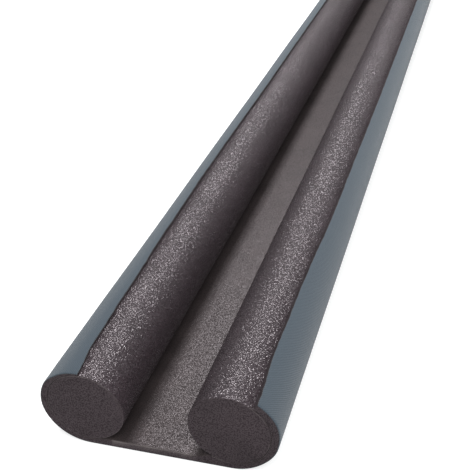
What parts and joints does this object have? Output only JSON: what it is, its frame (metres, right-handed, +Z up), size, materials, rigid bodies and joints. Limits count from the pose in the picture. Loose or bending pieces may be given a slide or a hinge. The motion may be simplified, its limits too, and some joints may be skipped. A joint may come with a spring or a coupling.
{
  "type": "draught excluder",
  "caption": "Under-door draught excluder: parallel foam rods on a foam-backed cloth cover that lies flat between them and turns up round their outer sides.",
  "frame": {"origin": "on the floor, under the middle of the part", "axes": "+X across the rods, towards the side where the cover ends lower on the rod; +Y along the rods, away from the cut ends that face the camera; +Z up"},
  "size_m": [0.0957, 0.95, 0.035],
  "materials": {
    "foam": "closed-cell polyethylene foam with a finely crinkled dark brown skin",
    "cloth": "blue-grey fine knitted cloth bonded to thin dark foam"
  },
  "bodies": {
    "root": {"rod_left": "foam", "rod_right": "foam", "cover": "cloth"}
  },
  "joints": []
}
